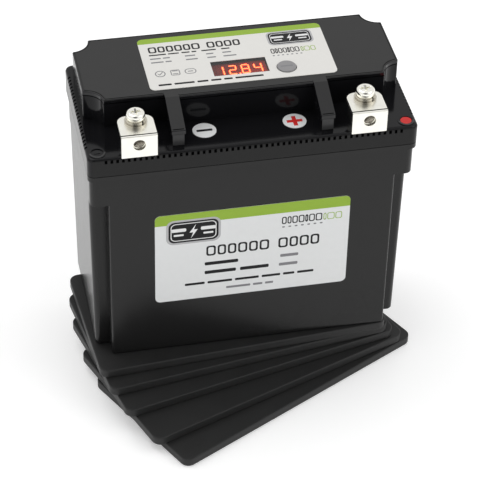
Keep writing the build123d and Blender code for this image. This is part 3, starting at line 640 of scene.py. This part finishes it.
for position, digit in enumerate(READING):
    x = (position - 1.5) * DIGIT_PITCH + DIGIT_SHIFT
    side, bar = DIGIT_WIDE / 2, DIGIT_TALL / 4
    spots = {"a": (x, 2 * bar, 0), "g": (x, 0, 0), "d": (x, -2 * bar, 0), "f": (x - side, bar, 1),
             "b": (x + side, bar, 1), "e": (x - side, -bar, 1), "c": (x + side, -bar, 1)}
    for stroke, layer, ink in (GLOW, CORE):
        for name in SEGMENTS[digit]:
            across, along, upright = spots[name]
            segment(across, along, 2 * bar if upright else DIGIT_WIDE, upright, stroke, layer, ink)
dot_at = (DIGIT_SHIFT, -DIGIT_TALL / 2)
for radius, (_, layer, ink) in ((GLOW_DOT_R, GLOW), (CORE_DOT_R, CORE)):
    sheet.shape(round_outline(radius, *dot_at, 16), ink, layer)
settle(sheet.bm, "display_digits", [digit_glow, digit_core], "battery")

# the lens fills the CAD window, but for a gap that leaves the digits free
LENS_GAP = 0.4
low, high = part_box("display_window")
bm = bmesh.new()
bmesh.ops.create_cube(bm, size=1.0)
size = high - low - Vector((0, 0, LENS_GAP * MM))
bmesh.ops.scale(bm, vec=size, verts=bm.verts)
bmesh.ops.translate(bm, vec=(low + high) / 2 + Vector((0, 0, LENS_GAP * MM / 2)), verts=bm.verts)
bmesh.ops.bevel(bm, geom=[e for e in bm.edges if all(v.co.z > high.z - MM for v in e.verts)],
                offset=0.25 * MM, segments=3, profile=0.5, affect="EDGES")
piece = settle(bm, "meter_lens", [lens()], "battery")
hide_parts("display_window")


# ---------------------------------------------------------------- terminal bolts and threads

def spun(bm, profile, centre, steps=64):
    """A closed turned solid. profile is (radius, height) in mm, from the axis back to the axis."""
    rings = []
    for radius, height in profile:
        z = centre.z + height * MM
        if radius == 0:
            rings.append([bm.verts.new((centre.x, centre.y, z))])
            continue
        rings.append([bm.verts.new((centre.x + radius * MM * math.cos(2 * math.pi * k / steps),
                                    centre.y + radius * MM * math.sin(2 * math.pi * k / steps), z))
                      for k in range(steps)])
    for first, second in zip(rings, rings[1:]):
        for k in range(steps):
            after = (k + 1) % steps
            corners = [first[k % len(first)], first[after % len(first)],
                       second[after % len(second)], second[k % len(second)]]
            bm.faces.new(list(dict.fromkeys(corners)))


def ridged(bm, place, crest, root, length, pitch, steps=48, rise=10):
    """A threaded wall round an axis: place(radius, turn, depth) gives a point, all in mm."""
    rings, count = [], int(length / pitch * rise)
    for j in range(count + 1):
        depth = length * j / count
        ring = []
        for k in range(steps):
            phase = (depth / pitch - k / steps) % 1.0
            ridge = 1 - abs(2 * phase - 1)
            fade = min(1.0, depth / (0.8 * pitch), (length - depth) / (0.8 * pitch))
            radius = root + (crest - root) * ridge * fade
            ring.append(bm.verts.new(place(radius, 2 * math.pi * k / steps, depth)))
        rings.append(ring)
    for first, second in zip(rings, rings[1:]):
        band(bm, first, second)
    return rings


def cross_cutter(centre, top, wide, thick, deep):
    """The tool that sinks a cross recess: four wings that narrow as they go down."""
    bm = bmesh.new()
    for turn in (0, math.pi / 2):
        loops = []
        for z, shrink in ((0.6, 1.06), (0.0, 1.0), (-deep, 0.42)):
            outline = rounded(wide * shrink, thick * (0.75 + 0.25 * shrink), 0.2 * thick, steps=3)
            loops.append([bm.verts.new(centre + Matrix.Rotation(turn, 3, "Z") @ Vector(
                (x * MM, y * MM, (top + z) * MM))) for x, y in outline])
        for first, second in zip(loops, loops[1:]):
            band(bm, first, second)
        bm.faces.new(loops[0])
        bm.faces.new(loops[-1][::-1])
    bmesh.ops.recalc_face_normals(bm, faces=bm.faces)
    return placed(bm, "cutter")


def cut(piece, cutter):
    """Takes the cutter out of the piece, for good."""
    change = piece.modifiers.new("cut", "BOOLEAN")
    change.operation, change.object, change.solver = "DIFFERENCE", cutter, "EXACT"
    change.use_self = True
    bpy.context.view_layer.update()
    done = bpy.data.meshes.new_from_object(
        piece.evaluated_get(bpy.context.evaluated_depsgraph_get()))
    piece.modifiers.clear()
    piece.data = done
    bpy.data.objects.remove(cutter)


PITCH = 1.0
HEAD_ROUND = 1.8
HEAD_RIM = 0.25
CROSS_WIDE, CROSS_THICK, CROSS_DEEP = 5.2, 1.3, 2.1
THREAD_CREST, THREAD_ROOT = 2.94, 2.45
for pole in POLES:
    low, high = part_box(f"{pole}_bolt")
    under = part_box(f"{pole}_spring_washer")[1].z
    axis = Vector(((low.x + high.x) / 2, (low.y + high.y) / 2, 0.0))
    head_r, head_top = (high.x - low.x) / 2 / MM, (high.z - under) / MM
    shank = (under - low.z) / MM
    centre = axis + Vector((0, 0, under))
    bm = bmesh.new()
    crown = [(head_r - HEAD_ROUND + HEAD_ROUND * math.sin(a), head_top - HEAD_ROUND
              + HEAD_ROUND * math.cos(a)) for a in (math.pi / 2 * k / 8 for k in range(9))]
    spun(bm, [(0, 0), (head_r - HEAD_RIM, 0), (head_r, HEAD_RIM)]
         + crown[::-1] + [(0.5 * (head_r - HEAD_ROUND), head_top), (0, head_top)], centre)
    head = settle(bm, f"{pole}_bolt_head", [bolt_plate], f"{pole}_bolt", smooth=True)
    cut(head, cross_cutter(centre, head_top, CROSS_WIDE, CROSS_THICK, CROSS_DEEP))
    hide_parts(f"{pole}_bolt")

    # the thread starts a hair inside the head
    bm = bmesh.new()
    rings = ridged(bm, lambda r, turn, depth: centre + Vector(
        (r * math.cos(turn), r * math.sin(turn), 0.01 - depth)) * MM,
        THREAD_CREST, THREAD_ROOT, shank, PITCH)
    bm.faces.new(rings[0])
    bm.faces.new(rings[-1][::-1])
    settle(bm, f"{pole}_bolt_thread", [bolt_plate], f"{pole}_bolt", smooth=True)

# threads in the front holes of the posts
BORE_R, BORE_DEEP = 3.0, 6.0
BORE_CREST, BORE_ROOT = 2.55, BORE_R - 0.03
BORE_BACK = BORE_R * 1.02     # the sleeve's outside, just inside the metal
BORE_STEPS = 48


def bore_ring(bm, mouth, depth):
    """The sleeve's outside edge at a depth."""
    turns = [2 * math.pi * k / BORE_STEPS for k in range(BORE_STEPS)]
    return [bm.verts.new(mouth + Vector((BORE_BACK * math.cos(turn), depth,
                                         BORE_BACK * math.sin(turn))) * MM) for turn in turns]


for pole in POLES:
    mount = next(m for m in frame["record"]["mounts"] if m["name"] == f"{pole}_front_thread")
    mouth = Vector(mount["pos_m"])
    bm = bmesh.new()
    inner = ridged(bm, lambda r, turn, depth: mouth + Vector(
        (r * math.cos(turn), depth, r * math.sin(turn))) * MM,
        BORE_CREST, BORE_ROOT, BORE_DEEP, PITCH, BORE_STEPS)
    outer = [bore_ring(bm, mouth, depth) for depth in (0.0, BORE_DEEP)]
    for first, second in ((inner[0], outer[0]), (outer[0], outer[1]), (outer[1], inner[-1])):
        band(bm, first, second)
    bm.faces.new(inner[-1])
    settle(bm, f"{pole}_bore_thread", [bore_metal], "battery", smooth=True)


# ---------------------------------------------------------------- spacer pads

# the size and the turns are those of the CAD pads, whose boxes show neither
PAD = (165.0, 84.0, 5.25)
PAD_CORNER = 5.0
FAN = (4.5, 9.0, 14.0, 21.5, 28.0)        # degrees, from the top pad down
EDGE = 0.5                                # radius of a pad's rolled edges
INSETS = (41.0, 34.0, 27.0, 20.0, 14.0, 9.0, 5.0, 2.4, 1.2, 0.75, 0.45, 0.2, 0.05, 0.0)
SIDE = ((0.0, 0.9), (0.05, 0.0), (0.0, -0.9))     # inset and height of the rings between the faces
TOP_DIP, UNDER_RISE = 0.10, 0.06          # unevenness of the two faces
SIDE_PULL, SIDE_WAVE = 0.0012, 1.7        # unevenness of the outline, and how tight its waves are


def pad_outline(inset, per_corner=8, step=5.0):
    """Outline of a pad, with evenly spaced points along its sides."""
    r = max(PAD_CORNER - inset, 0.4)
    reach_x, reach_y = PAD[0] / 2 - inset - r, PAD[1] / 2 - inset - r
    centres = [(sx * reach_x, sy * reach_y) for sx, sy in ((1, 1), (-1, 1), (-1, -1), (1, -1))]
    points = []
    for corner, (cx, cy) in enumerate(centres):
        for k in range(per_corner + 1):
            angle = math.pi / 2 * (corner + k / per_corner)
            points.append((cx + r * math.cos(angle), cy + r * math.sin(angle)))
        nx, ny = centres[(corner + 1) % 4]
        angle = math.pi / 2 * (corner + 1)
        start = Vector((cx + r * math.cos(angle), cy + r * math.sin(angle)))
        end = Vector((nx + r * math.cos(angle), ny + r * math.sin(angle)))
        length = PAD[0] if corner % 2 == 0 else PAD[1]
        count = int(length / step)
        points += [tuple(start.lerp(end, k / count)) for k in range(1, count)]
    return points


def wave(seed):
    """A gentle uneven height from 0 to 1 over a pad, the same each run."""
    draw = random.Random(seed)
    waves = [(draw.uniform(0.02, 0.09), draw.uniform(0, 2 * math.pi), draw.uniform(0, 6.28))
             for _ in range(5)]

    def height(x, y):
        total = sum(math.sin(f * (x * math.cos(a) + y * math.sin(a)) + p) for f, a, p in waves)
        return 0.5 + 0.5 * total / len(waves)
    return height


def pad_profile():
    """Inset, height and face of each ring of a pad, from the middle of its top to its underside."""
    drops = []
    for inset in INSETS:
        drop = EDGE - math.sqrt(max(EDGE ** 2 - max(EDGE - inset, 0.0) ** 2, 0.0))
        drops.append((inset, drop))
    top = [(inset, PAD[2] / 2 - drop, 1) for inset, drop in drops]
    side = [(inset, height, 0) for inset, height in SIDE]
    under = [(inset, drop - PAD[2] / 2, -1) for inset, drop in drops[::-1]]
    return top + side + under


for number, angle in enumerate(FAN, 1):
    low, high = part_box(f"spacer_{number}")
    middle = (low + high) / 2
    turn = Matrix.Rotation(math.radians(angle), 3, "Z")
    dip, rise, side_wave = wave(number), wave(number + 20), wave(number + 40)
    bm = bmesh.new()
    rings = []
    for inset, height, face in pad_profile():
        ring = []
        for x, y in pad_outline(inset):
            z = height
            if face > 0:
                z -= TOP_DIP * dip(x, y)
            elif face < 0:
                z += UNDER_RISE * rise(x, y)
            pull = 1 - SIDE_PULL * side_wave(SIDE_WAVE * x, SIDE_WAVE * y)
            spot = turn @ Vector((x * pull, y * pull, z))
            ring.append(bm.verts.new(middle + spot * MM))
        rings.append(ring)
    for first, second in zip(rings, rings[1:]):
        band(bm, first, second)
    for ring in (rings[0], rings[-1]):
        bm.faces.new(ring)
    pad = settle(bm, f"spacer_{number}_foam", [pad_foam], f"spacer_{number}",
                 smooth=True)
    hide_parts(f"spacer_{number}")


# ---------------------------------------------------------------- studio

def studio_floor():
    """A plain pale floor, just under the lowest pad."""
    material, tree, shader, place = blank("studio_floor")
    tree.links.new(shade(tree, noise(tree, place, 400.0), (0.90, 0.90, 0.90), (0.93, 0.93, 0.93)),
                   shader.inputs["Base Color"])
    shader.inputs["Roughness"].default_value = 0.9
    shader.inputs["Emission Color"].default_value = (1.0, 1.0, 1.0, 1.0)
    shader.inputs["Emission Strength"].default_value = 0.30
    bm = bmesh.new()
    bmesh.ops.create_grid(bm, x_segments=8, y_segments=8, size=6.0)
    floor = placed(bm, "floor", [material])
    floor.location.z = -0.2 * MM


def soft_light(name, place, aim, size, power):
    """A white square area light at place, turned to aim."""
    data = bpy.data.lights.new(name, "AREA")
    data.shape, data.size, data.energy = "SQUARE", size, power
    lamp = bpy.data.objects.new(name, data)
    lamp.location = place
    lamp.rotation_euler = (Vector(aim) - Vector(place)).to_track_quat("-Z", "Y").to_euler()
    bpy.context.scene.collection.objects.link(lamp)


# the camera looks from the front left, down on the object, through a long lens
AZIMUTH, ELEVATION, ROLL = math.radians(12.31), math.radians(39.55), math.radians(1.41)
AIM, AWAY, LENS = Vector((0.0027, 0.0396, 0.0569)), 1.20, 158.9
forward = Vector((math.sin(AZIMUTH) * math.cos(ELEVATION),
                  math.cos(AZIMUTH) * math.cos(ELEVATION), -math.sin(ELEVATION)))
level = Vector((math.cos(AZIMUTH), -math.sin(AZIMUTH), 0.0))
upright = level.cross(forward)
right = level * math.cos(ROLL) + upright * math.sin(ROLL)
up = right.cross(forward)
camera_data = bpy.data.cameras.new("camera")
camera_data.lens, camera_data.sensor_width = LENS, 36.0
camera_data.clip_start, camera_data.clip_end = 0.01, 50.0
camera = bpy.data.objects.new("camera", camera_data)
camera.matrix_world = Matrix.Translation(AIM - forward * AWAY) @ Matrix(
    (right, up, -forward)).transposed().to_4x4()
bpy.context.scene.collection.objects.link(camera)
bpy.context.scene.camera = camera

# a white tent with a soft dark opening round the camera, which the polished faces mirror
world = bpy.data.worlds.new("white_tent")
world.use_nodes = True
tree = world.node_tree
sky = node(tree, "ShaderNodeTexCoord").outputs["Generated"]
towards = node(tree, "ShaderNodeVectorMath", {0: sky, 1: -forward}, operation="DOT_PRODUCT")
DARK_FROM, DARK_TO = math.cos(math.radians(30.0)), math.cos(math.radians(14.0))
opening = node(tree, "ShaderNodeMapRange",
               {"Value": towards.outputs["Value"], "From Min": DARK_FROM, "From Max": DARK_TO,
                "To Min": 0.0, "To Max": 1.0}).outputs["Result"]
tent = shade(tree, opening, (1.0, 1.0, 1.0), (0.03, 0.03, 0.03))
tree.links.new(tent, tree.nodes["Background"].inputs["Color"])
tree.nodes["Background"].inputs["Strength"].default_value = 0.88
bpy.context.scene.world = world
bpy.context.scene.view_settings.view_transform = "Standard"

studio_floor()
LIT_POINT = (0, 0, 0.05)
soft_light("key", (-0.5, 0.5, 1.6), LIT_POINT, 1.0, 4.0)
soft_light("fill", (0.9, -0.4, 1.2), LIT_POINT, 0.8, 2.0)
